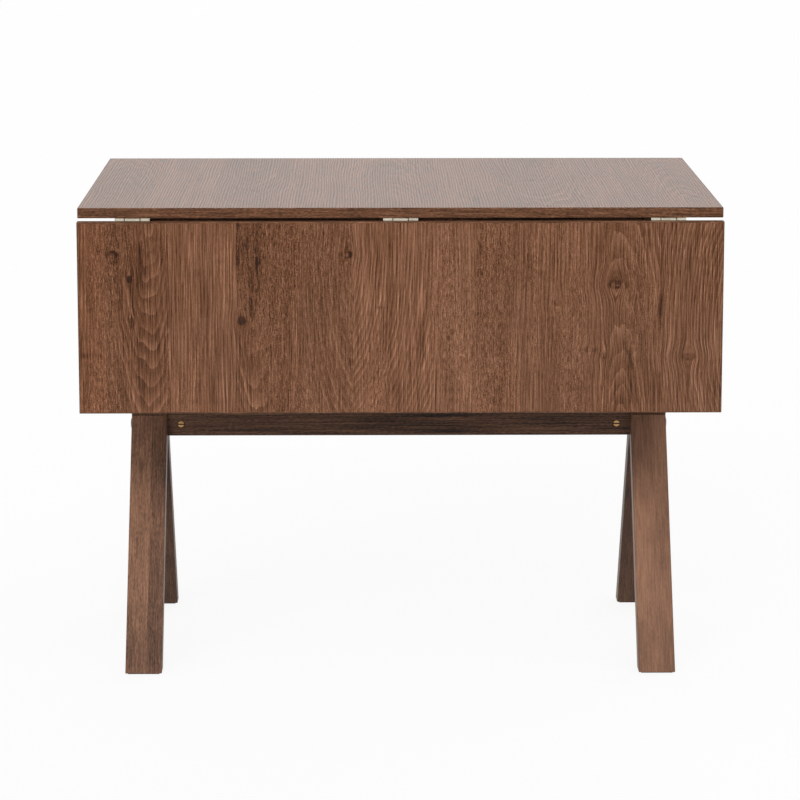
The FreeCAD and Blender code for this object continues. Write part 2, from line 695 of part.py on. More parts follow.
def foot_pad(label, side, forward):
    foot_y = "trestle_y + %d * lean * (crossing_height - pad_thickness)" % forward
    half = "(leg_cut / 2 - pad_inset)"
    across = sided(side, "trestle_inner_x + pad_inset", "trestle_outer_x - pad_inset")
    along = ("%s - %s" % (foot_y, half), "%s + %s" % (foot_y, half))
    node(label, block(label, across, along, ("0", "pad_thickness")))


def bearer(label, side):
    """A bearer on a trestle's leg tops, with its lower corners cut off."""
    body = new_body(label + "Blank")
    half = "bearer_length / 2"
    inset = "(bearer_length / 2 - bearer_chamfer)"
    profile = polygon(body, "YZ_Plane", [
        ("-" + half, "0"), ("-" + half, "bearer_chamfer - bearer_height"), ("-" + inset, "-bearer_height"),
        (inset, "-bearer_height"), (half, "bearer_chamfer - bearer_height"), (half, "0"),
    ])
    pad(body, profile, "leg_width", symmetric=True)
    place(body, "%d * trestle_x" % side, "trestle_y", "under_z")
    drilled(label, body, bearer_holes, leg_screw_holes, rail_bolt_holes)


stud_length = "stay_play + arm_thickness + arm_side_gap"
stud = turned("Stud", [
    ("0", "-stud_head_height"), ("stud_head_radius", "-stud_head_height"), ("stud_head_radius", "0"),
    ("stud_radius", "0"), ("stud_radius", stud_length), ("stud_thread", stud_length),
    ("stud_thread", stud_length + " + stud_bite"), ("0", stud_length + " + stud_bite"),
])
stud_bore = turned("StudHole", [
    ("0", stud_length), ("stud_thread + hole_clearance", stud_length),
    ("stud_thread + hole_clearance", stud_length + " + stud_bite"), ("0", stud_length + " + stud_bite"),
])


def stud_place(side):
    return ("%d * ear_outer_x" % side, "stud_y", "stud_z", OUTWARD[side])


def make_trestles():
    for name, side in SIDES:
        stud_hole = fastened(name + "_stay_stud", stud, stud_bore, [stud_place(side)])
        bores = (stretcher_bolt_holes, leg_screw_holes, stud_hole)
        for end, forward in (("front", -1), ("rear", 1)):
            blank = leg_blank("%s_%s_blank" % (name, end), side, forward)
            drilled("%s_%s_leg" % (name, end), blank, *bores)
            foot_pad("%s_%s_pad" % (name, end), side, forward)
        bearer(name + "_bearer", side)


# Rails between the trestles.


def rail(label, rail_y, rail_z, height, *bores):
    across = ("-trestle_inner_x", "trestle_inner_x")
    along = ("%s - rail_thickness / 2" % rail_y, "%s + rail_thickness / 2" % rail_y)
    tall = ("%s - %s / 2" % (rail_z, height), "%s + %s / 2" % (rail_z, height))
    body = block(label + "Blank", across, along, tall)
    soften(body, "rail_round", lambda edge: runs_along(edge, 0))
    drilled(label, body, *bores)


def make_rails():
    bores = (stretcher_bolt_holes, stretcher_nut_holes)
    rail("stretcher", "trestle_y", "crossing_height", "stretcher_height", *bores)
    for name, rail_y, facing, inside in UPPER_RAILS:
        rail(name + "_rail", rail_y, "rail_z", "rail_height", rail_bolt_holes, rail_nut_holes, rail_holes)


# Flap stays. The stud and the pivot lie on one circle about the hinge pin, so an arm through both
# turns by half the leaf's angle, and its slot's ends stop the leaf down and level.


def stay_arm(label, side):
    body = new_body(label)
    slot_radius = "stud_radius + slot_clearance"
    pivot = ("0", "0")
    near = ("slot_near", "0")
    far = ("slot_far", "0")
    seat = ("slot_far", "notch_depth")
    pad(body, round_slot(body, "YZ_Plane", pivot, far, "arm_width / 2"), "arm_thickness")
    through = "4 * arm_thickness"
    pocket(body, circle(body, "YZ_Plane", pivot, "rivet_radius + running_fit"), through, symmetric=True)
    pocket(body, round_slot(body, "YZ_Plane", near, far, slot_radius), through, symmetric=True)
    pocket(body, round_slot(body, "YZ_Plane", far, seat, slot_radius), through, symmetric=True)
    low_face = sided(side, "arm_inner_x", "arm_outer_x")[0]
    place(body, low_face, "pivot_y", "pivot_z", Rotation(Vector(1, 0, 0), value("stay_turn")))
    body.setExpression(".Placement.Rotation.Angle", spelled_out("stay_turn"))
    node(label, body)


def leaf_bracket(label, side):
    """An angle with its foot on the leaf and an ear for the rivet, on the inner side of the arm."""
    body = new_body(label + "Blank")
    half = "bracket_length / 2"
    foot = rectangle(body, "XZ_Plane", sided(side, "-bracket_foot", "0"), ("-" + half, half))
    pad(body, foot, "bracket_plate", backward=True)
    ear = polygon(body, "YZ_Plane", [
        ("0", "-" + half), ("pivot_standoff", "-bracket_ear"), ("pivot_standoff", "bracket_ear"), ("0", half),
    ])
    inward = side > 0
    pad(body, ear, "bracket_plate", backward=inward)
    tip = circle(body, "YZ_Plane", ("pivot_standoff", "0"), "bracket_ear")
    pad(body, tip, "bracket_plate", backward=inward)
    eye = circle(body, "YZ_Plane", ("pivot_standoff", "0"), "rivet_radius + running_fit")
    pocket(body, eye, "4 * bracket_plate", symmetric=True)
    place(body, "%d * ear_outer_x" % side, "leaf_back_y", "pivot_z")
    drilled(label, body, bracket_holes)


def make_stays():
    grip = "bracket_plate + arm_thickness + 2 * stay_play"
    rivet = turned("Rivet", [
        ("0", "-rivet_head_height"), ("rivet_head_radius", "-rivet_head_height"), ("rivet_head_radius", "0"),
        ("rivet_radius", "0"), ("rivet_radius", grip), ("rivet_head_radius", grip),
        ("rivet_head_radius", grip + " + rivet_head_height"), ("0", grip + " + rivet_head_height"),
    ])
    bore, rim, thick = "stud_radius + hole_clearance", "stud_head_radius", "arm_side_gap - stay_play"
    washer = turned("Washer", [(bore, "0"), (rim, "0"), (rim, thick), (bore, thick)])
    for name, side in SIDES:
        stay_arm(name + "_stay_arm", side)
        leaf_bracket(name + "_stay_bracket", side)
        rivet_x = "%d * (ear_outer_x - bracket_plate)" % side
        node(name + "_stay_rivet", scatter(name + "_stay_rivet", rivet, [
            (rivet_x, "pivot_y", "pivot_z", OUTWARD[side]),
        ]))
    node("stay_washers", scatter("stay_washers", washer, [
        ("%d * (arm_outer_x + stay_play)" % side, "stud_y", "stud_z", OUTWARD[side]) for name, side in SIDES
    ]))


make_top()
make_leaf()
make_hinges()
make_trestles()
make_rails()
make_stays()
doc.recompute()

# Nothing is written unless every object is sound.

for thing in doc.Objects:
    if {"Invalid", "Error"} & set(thing.State):
        raise ValueError("%s failed: %s" % (thing.Label, thing.State))
for thing in nodes:
    if thing.Shape.isNull() or not thing.Shape.isValid():
        raise ValueError("%s has no sound shape" % thing.Label)

os.makedirs("parts", exist_ok=True)
for thing in nodes:
    thing.Shape.exportStep("parts/%s.step" % thing.Label)
print("%d sub-parts" % len(nodes))
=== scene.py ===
# %% [markdown]
# # A dining table with a drop leaf
# The table is dark stained oak. Two crossed-leg trestles carry a fixed top, and a leaf hangs from the
# top's front edge on three small hinges. The solids come ready made from the packed frame, so the work
# here is in the finishes: what makes a plain board read as oak is its figure, its pores and its sheen.

# %% Load the frame
import json
import math

import bmesh
import bpy
from mathutils import Matrix, Vector


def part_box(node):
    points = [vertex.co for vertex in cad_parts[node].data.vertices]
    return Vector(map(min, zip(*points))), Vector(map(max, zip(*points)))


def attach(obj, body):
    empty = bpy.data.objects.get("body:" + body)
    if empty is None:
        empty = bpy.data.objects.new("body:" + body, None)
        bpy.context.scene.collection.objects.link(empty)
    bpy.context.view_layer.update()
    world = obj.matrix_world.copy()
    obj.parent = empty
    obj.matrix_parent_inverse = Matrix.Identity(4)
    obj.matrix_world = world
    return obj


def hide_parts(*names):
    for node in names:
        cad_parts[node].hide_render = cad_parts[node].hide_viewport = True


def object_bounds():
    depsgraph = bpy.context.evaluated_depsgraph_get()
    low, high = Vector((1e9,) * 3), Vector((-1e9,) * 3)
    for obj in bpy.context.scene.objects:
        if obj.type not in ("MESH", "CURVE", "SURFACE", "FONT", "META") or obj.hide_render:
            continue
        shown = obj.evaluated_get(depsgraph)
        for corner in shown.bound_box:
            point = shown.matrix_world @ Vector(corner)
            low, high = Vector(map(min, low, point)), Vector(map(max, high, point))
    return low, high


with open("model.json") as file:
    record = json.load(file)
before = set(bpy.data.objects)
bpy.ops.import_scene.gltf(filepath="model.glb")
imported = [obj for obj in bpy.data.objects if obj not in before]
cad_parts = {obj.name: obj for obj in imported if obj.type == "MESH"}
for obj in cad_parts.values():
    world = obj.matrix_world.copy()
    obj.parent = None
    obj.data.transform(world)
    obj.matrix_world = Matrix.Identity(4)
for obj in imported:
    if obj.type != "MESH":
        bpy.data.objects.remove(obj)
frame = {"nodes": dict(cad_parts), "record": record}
cad_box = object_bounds()
nodes = frame["nodes"]
print("pieces:", len(nodes), "box:", [tuple(corner) for corner in cad_box])

# %% [markdown]
# ## Camera
# The picture was taken from a little over five metres, straight on to the leaf and from about twice the
# table's height, with a long lens. Its place comes from a fit to the corners of the boards and the feet.
# A shifted lens would keep the legs upright, but a tilted camera without shift also frames the table
# from other sides, so that is used here.

# %% Camera
CAMERA_PLACE = (-0.0565, -5.5876, 1.4057)
CAMERA_YAW = math.radians(-0.606)
CAMERA_TILT = math.radians(10.345)
CAMERA_LENS = 153.65

camera = bpy.data.objects.new("camera", bpy.data.cameras.new("camera"))
camera.location = CAMERA_PLACE
camera.rotation_euler = (math.radians(90) - CAMERA_TILT, 0, CAMERA_YAW)
camera.data.lens = CAMERA_LENS
bpy.context.scene.collection.objects.link(camera)
bpy.context.scene.camera = camera
print("camera:", CAMERA_PLACE, "lens", CAMERA_LENS)

# %% [markdown]
# ## Nodes as arithmetic
# A wood finish is a formula: distances from the tree's heart, folded into rings and mixed with streaks
# of noise. Node graphs hide such formulas in boxes and wires. A small class that builds a Math node for
# each Python operator lets the formula be written as it would be on paper.

# %% Fields and nodes
def feed(socket, value):
    """Set a node's input, or wire it where the value is made by a node."""
    if isinstance(value, Field):
        socket.id_data.links.new(value.socket, socket)
    else:
        socket.default_value = value


class Field:
    """A value that varies over a surface, as a node's output that arithmetic works on."""

    def __init__(self, socket):
        self.socket = socket

    def math(self, operation, *others):
        node = self.socket.id_data.nodes.new("ShaderNodeMath")
        node.operation = operation
        for socket, value in zip(node.inputs, (self, *others)):
            feed(socket, value)
        return Field(node.outputs["Value"])

    def __add__(self, other):
        return self.math("ADD", other)

    def __sub__(self, other):
        return self.math("SUBTRACT", other)

    def __rsub__(self, other):
        return self * -1.0 + other

    def __mul__(self, other):
        return self.math("MULTIPLY", other)

    def __truediv__(self, other):
        return self.math("DIVIDE", other)

    def __pow__(self, other):
        return self.math("POWER", other)

    __radd__ = __add__
    __rmul__ = __mul__


print("operators:", [name for name in vars(Field) if name.startswith("__") and name != "__init__"])

# %% [markdown]
# Three more helpers come up in every finish: a new node with its inputs set, a smooth rise from 0 to 1,
# and a bell that marks a place and fades on both sides of it.

# %% New nodes, steps and bells
def add_node(tree, kind, **settings):
    """A new node. A capitalised setting is one of its inputs, and another is one of its options."""
    node = tree.nodes.new("ShaderNode" + kind)
    for name, value in settings.items():
        if name[0].isupper():
            feed(node.inputs[name], value)
        else:
            setattr(node, name, value)
    return node


def step(field, low, high):
    """0 below low, 1 above high and a smooth rise between."""
    tree = field.socket.id_data
    node = add_node(tree, "MapRange", interpolation_type="SMOOTHSTEP", Value=field)
    feed(node.inputs["From Min"], low)
    feed(node.inputs["From Max"], high)
    return Field(node.outputs["Result"])


def bell(field):
    """1 where a field is zero, fading to 0 on both sides."""
    return (field ** 2 * -1.0).math("EXPONENT")


print("a bell is", round(math.exp(-1), 2), "high at a distance of 1")

# %% [markdown]
# ## Colours
# Colours are easiest to judge as the levels that a screen shows, 0 to 255. Shaders work in linear
# light, so each colour is converted once, where it is written.

# %% Colours
def linear(level):
    share = level / 255
    return share / 12.92 if share <= 0.04045 else ((share + 0.055) / 1.055) ** 2.4


def screen(red, green, blue):
    """A colour given in screen levels."""
    return (linear(red), linear(green), linear(blue), 1.0)


def shaded(colour, share):
    """A colour that lets a share of the light through."""
    return tuple(share * level for level in colour[:3]) + (1.0,)


def ramp(field, *stops):
    """A colour for each value of a field, from (value, colour) stops."""
    node = add_node(field.socket.id_data, "ValToRGB", Fac=field)
    elements = node.color_ramp.elements
    while len(elements) < len(stops):
        elements.new(1.0)
    for element, (position, colour) in zip(elements, stops):
        element.position = position
        element.color = colour
    return Field(node.outputs["Color"])


def mix(factor, first, second, blend="MIX"):
    """Two colours mixed by a factor."""
    tree = next(value for value in (factor, first, second) if isinstance(value, Field)).socket.id_data
    node = add_node(tree, "Mix", data_type="RGBA", blend_type=blend)
    # A Mix node has sockets for numbers and vectors as well, and these are the ones for colours.
    for index, value in ((0, factor), (6, first), (7, second)):
        feed(node.inputs[index], value)
    return Field(node.outputs[2])


print("mid grey 128 is", round(linear(128), 3), "in linear light")

# %% [markdown]
# ## Grain
# Every wooden piece has its own direction of grain. Each finish therefore starts from the place on the
# piece, read in the order across, along and through the grain. Streaks are noise that is drawn out
# along the grain. A leaning leg turns its coordinates first, so that its grain runs up the leg.

# %% Grain
def new_finish(name):
    material = bpy.data.materials.new(name)
    material.use_nodes = True
    return material, material.node_tree, material.node_tree.nodes["Principled BSDF"]


def grain_of(tree, order, lean=0.0):
    """Places across, along and through the grain, with order naming the axes, such as XZY."""
    place = Field(add_node(tree, "TexCoord").outputs["Object"])
    turned = Field(add_node(tree, "Mapping", Vector=place, Rotation=(lean, 0, 0)).outputs["Vector"])
    split = add_node(tree, "SeparateXYZ", Vector=turned)
    return [Field(split.outputs[axis]) for axis in order]


def joined(across, along, through):
    tree = across.socket.id_data
    return Field(add_node(tree, "CombineXYZ", X=across, Y=along, Z=through).outputs["Vector"])


def streaks(grain, across, along, seed, detail=2.0):
    """Noise about zero with so many streaks to the metre across and along the grain."""
    tree = grain.socket.id_data
    scaled = add_node(tree, "Mapping", Vector=grain, Location=(seed, seed, seed),
                      Scale=(across, along, across))
    noise = add_node(tree, "TexNoise", Vector=Field(scaled.outputs["Vector"]), Scale=1.0, Detail=detail)
    return Field(noise.outputs[0]) - 0.5


def emboss(tree, shader, height, depth):
    """Raise and sink the surface by a height of about 0 to 1 times a depth in metres."""
    bump = add_node(tree, "Bump", Height=height, Distance=depth, Strength=1.0)
    feed(shader.inputs["Normal"], Field(bump.outputs["Normal"]))


print("900 streaks to the metre lie", round(1000 / 900, 1), "mm apart")

# %% [markdown]
# ## The boards
# The top and the leaf are veneered to look like planks of rustic oak. A plank shows the rings of its
# tree, cut at a slant: contours of the distance from the tree's heart, which runs through the board at
# a small tilt. Near the heart these are nested arches, and far from it almost straight lines. Each
# plank has its own heart, tilt and tone, and knots push the lines aside and leave a dark spot. Both are
# short tables here, because they are what one would tell a veneer cutter.

# %% Planks and marks of the leaf
# Left edge, heart across, heart along and tilt of each plank, in metres, then its tone, how straight and
# clear its lines are, and how warm it is, in parts of 1.
LEAF_PLANKS = (
    (-0.500, -0.80, 0.60, 0.10, 0.52, 0.5, 1.0),
    (-0.458, -0.388, 0.74, 0.22, 0.38, 0.6, 0.5),
    (-0.363, -0.66, 0.50, 0.10, 0.52, 1.0, 0.5),
    (-0.255, -0.226, 0.76, 0.14, 0.40, 0.5, 0.4),
    (-0.150, -0.05, 0.68, 0.30, 0.43, 0.3, 0.3),
    (-0.075, -0.14, 0.70, 0.45, 0.56, 0.7, 0.5),
    (0.050, -0.30, 0.60, 0.10, 0.64, 1.0, 0.4),
    (0.117, 0.15, 1.20, 0.05, 0.54, 0.2, 0.4),
    (0.208, 0.60, 0.50, 0.12, 0.52, 0.6, 0.4),
    (0.324, 0.340, 0.30, 0.14, 0.44, 0.7, 0.3),
    (0.400, 0.57, 0.56, 0.45, 0.46, 0.8, 0.3),
)
# Place across and along, half width and half height of each mark, in metres, how far it pushes the
# lines aside and how dark it is. A mark below zero is a light fleck.
LEAF_MARKS = (
    (-0.446, 0.680, 0.008, 0.005, 0.005, 0.42),
    (-0.420, 0.642, 0.004, 0.005, 0.004, 0.32),
    (-0.418, 0.578, 0.004, 0.004, 0.006, 0.34),
    (-0.404, 0.650, 0.012, 0.045, 0.0, 0.14),
    (-0.247, 0.577, 0.005, 0.006, 0.006, 0.80),
    (-0.252, 0.700, 0.003, 0.035, 0.0, 0.45),
    (-0.240, 0.690, 0.010, 0.045, 0.0, 0.14),
    (-0.222, 0.680, 0.003, 0.060, 0.0, 0.36),
    (-0.230, 0.610, 0.005, 0.040, 0.0, 0.18),
    (-0.084, 0.680, 0.008, 0.005, 0.005, 0.34),
    (-0.031, 0.597, 0.006, 0.002, 0.0, 0.24),
    (0.242, 0.604, 0.004, 0.004, 0.004, 0.30),
    (0.294, 0.530, 0.010, 0.003, 0.004, 0.22),
    (0.316, 0.521, 0.005, 0.005, 0.004, 0.30),
    (0.332, 0.633, 0.009, 0.006, 0.012, 0.38),
    (0.336, 0.631, 0.003, 0.002, 0.0, -0.45),
    (0.088, 0.522, 0.009, 0.002, 0.0, -0.25),
    (0.036, 0.505, 0.002, 0.012, 0.0, -0.25),
    (0.357, 0.500, 0.006, 0.060, 0.0, 0.16),
    (0.402, 0.592, 0.0025, 0.020, 0.0, 0.36),
    (0.448, 0.519, 0.009, 0.005, 0.008, 0.28),
    (-0.490, 0.522, 0.020, 0.004, 0.0, 0.17),
)
print("planks:", len(LEAF_PLANKS), "marks:", len(LEAF_MARKS))

# %% Planks and marks of the top
TOP_PLANKS = (
    (-0.500, -0.455, -0.90, 0.08, 0.40, 0.7, 0.2),
    (-0.400, -0.70, 0.10, 0.10, 0.50, 0.9, 0.1),
    (-0.300, -0.245, 0.95, 0.07, 0.38, 0.5, 0.1),
    (-0.180, 0.10, 0.10, 0.10, 0.52, 1.0, 0.2),
    (-0.060, -0.010, -1.10, 0.07, 0.42, 0.6, 0.0),
    (0.060, -0.30, 0.20, 0.12, 0.50, 0.9, 0.2),
    (0.160, 0.225, 1.00, 0.08, 0.38, 0.5, 0.1),
    (0.290, 0.60, 0.00, 0.10, 0.48, 0.8, 0.0),
    (0.390, 0.455, -0.95, 0.08, 0.42, 0.6, 0.2),
)
TOP_MARKS = (
    (-0.440, 0.180, 0.008, 0.008, 0.010, 0.30),
    (-0.232, -0.120, 0.007, 0.009, 0.010, 0.34),
    (-0.020, 0.240, 0.009, 0.008, 0.012, 0.32),
    (0.215, 0.020, 0.008, 0.008, 0.012, 0.34),
    (0.470, -0.200, 0.007, 0.007, 0.008, 0.30),
    (0.120, -0.250, 0.004, 0.060, 0.0, 0.18),
    (-0.330, 0.060, 0.004, 0.080, 0.0, 0.18),
)
print("planks:", len(TOP_PLANKS), "marks:", len(TOP_MARKS))

# %% [markdown]
# A shader can't look a plank up in a Python table. A colour ramp with one flat step per plank does the
# same: its three colours and its alpha hold four numbers, which are kept between 0 and 1 and stretched
# again behind the ramp.

# %% The plank under a point
WIDTH = cad_box[1][0] - cad_box[0][0]
PLANK_REACH = 1.6


def plank_table(across, rows):
    """Up to four numbers of the plank at each place, each from 0 to 1, from (left edge, numbers) rows."""
    tree = across.socket.id_data
    node = add_node(tree, "ValToRGB", Fac=across / WIDTH + 0.5)
    table = node.color_ramp
    table.interpolation = "CONSTANT"
    while len(table.elements) < len(rows):
        table.elements.new(1.0)
    for element, (edge, numbers) in zip(table.elements, rows):
        element.position = edge / WIDTH + 0.5
        element.color = numbers
    split = add_node(tree, "SeparateColor", Color=Field(node.outputs["Color"]))
    return [Field(split.outputs[index]) for index in range(3)] + [Field(node.outputs["Alpha"])]


def plank_numbers(across, planks):
    """Heart across, heart along, tilt, tone, clearness and warmth of the plank at each place."""
    half = PLANK_REACH / 2
    shapes = []
    looks = []
    for edge, heart, centre, tilt, tone, clear, warm in planks:
        shapes.append((edge, ((heart + half) / PLANK_REACH, (centre + half) / PLANK_REACH, tilt, tone)))
        looks.append((edge, (clear, warm, 0.0, 1.0)))
    heart, centre, tilt, tone = plank_table(across, shapes)
    clear, warm = plank_table(across, looks)[:2]
    return heart * PLANK_REACH - half, centre * PLANK_REACH - half, tilt, tone, clear, warm


print("plank tables reach", PLANK_REACH, "m across a width of", WIDTH, "m")

# %% [markdown]
# A knot is where a branch grew out of the trunk. The rings flow round it, so the places that the rings
# are worked out from are pushed away from the knot, and it gets a dark core and a rim of bark. A mark
# that pushes nothing is a plain dark or light streak.

# %% What the marks do
# How far a knot pushes, in its half widths and half heights, and the still place in it in metres.
PUSH_WIDTHS = 4
PUSH_HEIGHTS = 3.5
PUSH_CORE = 0.002
# Where its bark lies, in parts of its radius, how sharp that rim is, and how dark its core and rim are.
BARK_PLACE = 0.9
BARK_SHARPNESS = 3.0
CORE_SHARE = 0.6
BARK_SHARE = 0.5


def apply_marks(across, along, marks):
    """Places across the grain with the lines pushed aside, and the darkness of the marks."""
    pushed = across
    dark = across * 0.0
    for mark_across, mark_along, width, height, push, darkness in marks:
        aside = across - mark_across
        up = along - mark_along
        reach = ((aside / width) ** 2 + (up / height) ** 2) ** 0.5
        spot = bell(reach)
        if push:
            far = aside.math("ABSOLUTE")
            fade = (far / (PUSH_WIDTHS * width) + (up / (PUSH_HEIGHTS * height)) ** 2) * -1.0
            pushed = pushed - aside / (far + PUSH_CORE) * fade.math("EXPONENT") * push
            bark = bell((reach - BARK_PLACE) * BARK_SHARPNESS)
            spot = spot * CORE_SHARE + bark * BARK_SHARE
        dark = dark + spot * darkness
    return pushed, dark


print("a knot's push ends about", PUSH_WIDTHS, "half widths away")

# %% [markdown]
# ### Rings and fine grain
# A ring fades in and ends in a sharp line, as the tree's year does. It could be a wave texture, but the
# share of a ring number after its point gives that saw-toothed shade directly. Noise on the distance
# makes the rings wander, and noise on the number makes each line ragged. Between the lines, oak shows
# long fibres where it is clear and short dashes and specks where it is mottled.

# %% Rings and fine grain
# Rings wander by metres, and their lines are ragged by so many rings.
RINGS_PER_METRE = 180
RING_WANDER = 0.024
RING_RAGGED = 1.6
RING_SHARPNESS = 2.0
DASH_TONE = 0.8
SPECK_TONE = 0.7
PORE_TONE = 0.13


def ring_lines(grain, from_heart, slope, seed):
    """The distance from the heart in metres, the shade of its ring and how far the ring wanders."""
    wander = streaks(grain, 9, 2.5, seed) * RING_WANDER
    rings = (from_heart ** 2 + slope ** 2) ** 0.5 + wander
    number = rings * RINGS_PER_METRE + streaks(grain, 70, 7, seed + 3) * RING_RAGGED
    return rings, number.math("FRACT") ** RING_SHARPNESS, wander


def fine_grain(grain, clear, seed):
    """The fibres, and the shade of all the fine grain together."""
    fibres = streaks(grain, 900, 14, seed + 11, detail=0.0)
    dashes = streaks(grain, 800, 110, seed + 17, detail=0.0)
    specks = streaks(grain, 800, 380, seed + 19, detail=0.0)
    pores = step(streaks(grain, 620, 50, seed + 23, detail=0.0), 0.08, 0.22)
    mottled = (dashes * DASH_TONE + specks * SPECK_TONE) * (1.3 - clear)
    return fibres, fibres * (clear * 0.9 + 0.1) + mottled - pores * PORE_TONE


print("a ring is", round(1000 / RINGS_PER_METRE, 1), "mm wide")

# %% [markdown]
# ### The oak finish
# Rings, fine grain, the planks' tones and the marks are added up to one value, and a ramp turns it into
# stained oak. The lacquer is smoother in the valleys of the planed face than on its ridges, which shows
# as fine lines of sheen along the top.

# %% The oak finish
OAK_STOPS = (
    (0.00, screen(46, 22, 10)),
    (0.25, screen(89, 54, 30)),
    (0.50, screen(120, 81, 57)),
    (0.75, screen(150, 107, 82)),
    (1.00, screen(184, 136, 110)),
)
GREYED_OAK = screen(100, 70, 52)
GREY_SHARE = 0.2
WARM_TINT = (1.0, 0.88, 0.78, 1.0)
WARM_SHARE = 0.8
# How much each layer adds to the value on the ramp.
RING_MIDDLE = 0.33
RING_TONE = 0.28
YEARS_ON_RINGS = 0.8
YEARS_TONE = 0.35
BROAD_TONE = 0.3
PLANK_TONE = 0.55
MARK_TONE = 1.4
# The sheen of the lacquer, and the depth of the pores in metres.
RIDGES_PER_METRE = 230
LACQUER_ROUGHNESS = 0.26
LACQUER_IOR = 1.38
PORE_DEPTH = 0.00006


def oak_board(name, order, planks, marks, seed, figure=1.0, gloss=0.24):
    """Veneer of planks on one board, with so strong a figure and so much change in its gloss."""
    material, tree, shader = new_finish(name)
    across, along, through = grain_of(tree, order)
    heart, centre, tilt, tone, plank_clear, warm = plank_numbers(across, planks)
    pushed, dark = apply_marks(across, along, marks)
    grain = joined(pushed, along, through)

    rings, line, wander = ring_lines(grain, pushed - heart, (along - centre) * tilt, seed)
    clear = streaks(grain, 12, 2.5, seed + 5) + (plank_clear - 0.5) * 0.3
    clear = step(clear, -0.12, 0.12) * 0.7 + 0.3
    fibres, fine = fine_grain(grain, clear, seed)
    years = streaks(joined(rings, along * 0.1, through), 75, 8, seed + 37, detail=3.0)
    broad = streaks(grain, 30, 4, seed + 7, detail=3.0)
    broken = step(streaks(grain, 260, 35, seed + 29, detail=0.0), -0.12, 0.12) + 0.35
    value = (line - RING_MIDDLE) * clear * (RING_TONE + years * YEARS_ON_RINGS)
    value = value + broad * BROAD_TONE + years * YEARS_TONE + fine
    value = 0.5 + value * figure + (tone - 0.5) * PLANK_TONE - dark * broken * MARK_TONE
    colour = ramp(value, *OAK_STOPS)
    grey = step(streaks(grain, 14, 3, seed + 31), -0.05, 0.2)
    greyed = mix(grey * GREY_SHARE, colour, GREYED_OAK)
    feed(shader.inputs["Base Color"], mix(warm * WARM_SHARE, greyed, WARM_TINT, "MULTIPLY"))

    drift = wander * 120 + streaks(grain, 60, 1.5, seed + 13) * 1.8
    ridges = (across * RIDGES_PER_METRE + drift).math("PINGPONG", 0.5)
    feed(shader.inputs["Roughness"], LACQUER_ROUGHNESS + ridges * gloss + fibres * 0.1)
    shader.inputs["IOR"].default_value = LACQUER_IOR
    emboss(tree, shader, line * 0.3 + fibres * 0.6, PORE_DEPTH)
    return material


leaf_oak = oak_board("leaf_oak", "XZY", LEAF_PLANKS, LEAF_MARKS, 1.0)
top_oak = oak_board("top_oak", "XYZ", TOP_PLANKS, TOP_MARKS, 40.0, figure=0.75, gloss=0.28)
print("nodes in the leaf's finish:", len(leaf_oak.node_tree.nodes))

# %% [markdown]
# ## Edge bands
# The boards' edges are covered by thin bands of the same oak, with their grain along the edge. A band is
# too narrow to show rings, so three widths of streaks are enough.

# %% Edge bands
BAND_STOPS = (
    (0.00, screen(48, 26, 13)),
    (0.50, screen(99, 64, 42)),
    (1.00, screen(150, 104, 76)),
)
BAND_ROUGHNESS = 0.42
BAND_DEPTH = 0.0001


def oak_band(name, order, seed):
    material, tree, shader = new_finish(name)
    grain = joined(*grain_of(tree, order))
    coarse = streaks(grain, 170, 12, seed)
    fine = streaks(grain, 800, 180, seed + 5, detail=0.0)
    long = streaks(grain, 800, 24, seed + 9, detail=0.0)
    colour = ramp(0.5 + coarse * 0.4 + fine * 0.8 + long * 0.9, *BAND_STOPS)
    feed(shader.inputs["Base Color"], colour)
    feed(shader.inputs["Roughness"], BAND_ROUGHNESS + fine * 0.2)
    shader.inputs["IOR"].default_value = LACQUER_IOR
    emboss(tree, shader, fine + coarse, BAND_DEPTH)
    return material


band_along_x = oak_band("band_along_x", "YXZ", 2.0)
band_along_y = oak_band("band_along_y", "XYZ", 12.0)
band_along_z = oak_band("band_along_z", "XZY", 22.0)
print("bands:", band_along_x.name, band_along_y.name, band_along_z.name)

# %% [markdown]
# ## Legs, rails and stretcher
# These are solid wood under a stain that takes unevenly and leaves little gloss. A front leg has two
# strips with paler and darker stretches. One tone for the whole leg would look dead, so a short table
# gives the tone at some heights, and the stain fades from one to the next along a ragged edge.

# %% Solid wood
LEG_STOPS = (
    (0.00, screen(44, 31, 25)),
    (0.25, screen(82, 61, 50)),
    (0.50, screen(120, 87, 69)),
    (1.00, screen(182, 135, 106)),
)
STAIN_ROUGHNESS = 0.45
STAIN_IOR = 1.3
# In metres.
STAIN_RAGGED = 0.025
GLUE_LINE = 0.0007
GRAIN_DEPTH = 0.0001


def stained(share):
    """The legs' colours with a stain that lets a share of the light through."""
    return [(place, shaded(colour, share)) for place, colour in LEG_STOPS]


def tone_at(height, table):
    """The tone about zero at each height, from (height, tone) rows in metres and in parts of 1."""
    return ramp(height, *((place, (tone, tone, tone, 1.0)) for place, tone in table)) - 0.5


def strip_tones(across, height, strips, seam):
    """The tone about zero of two strips. Each has a table of tones, and the seam gives the place across
    where they meet, how softly they do so and how dark the glue line is."""
    middle, softness, glue = seam
    first, second = [tone_at(height, table) for table in strips]
    aside = across - middle
    return first + (second - first) * step(aside, -softness, softness) - bell(aside / GLUE_LINE) * glue


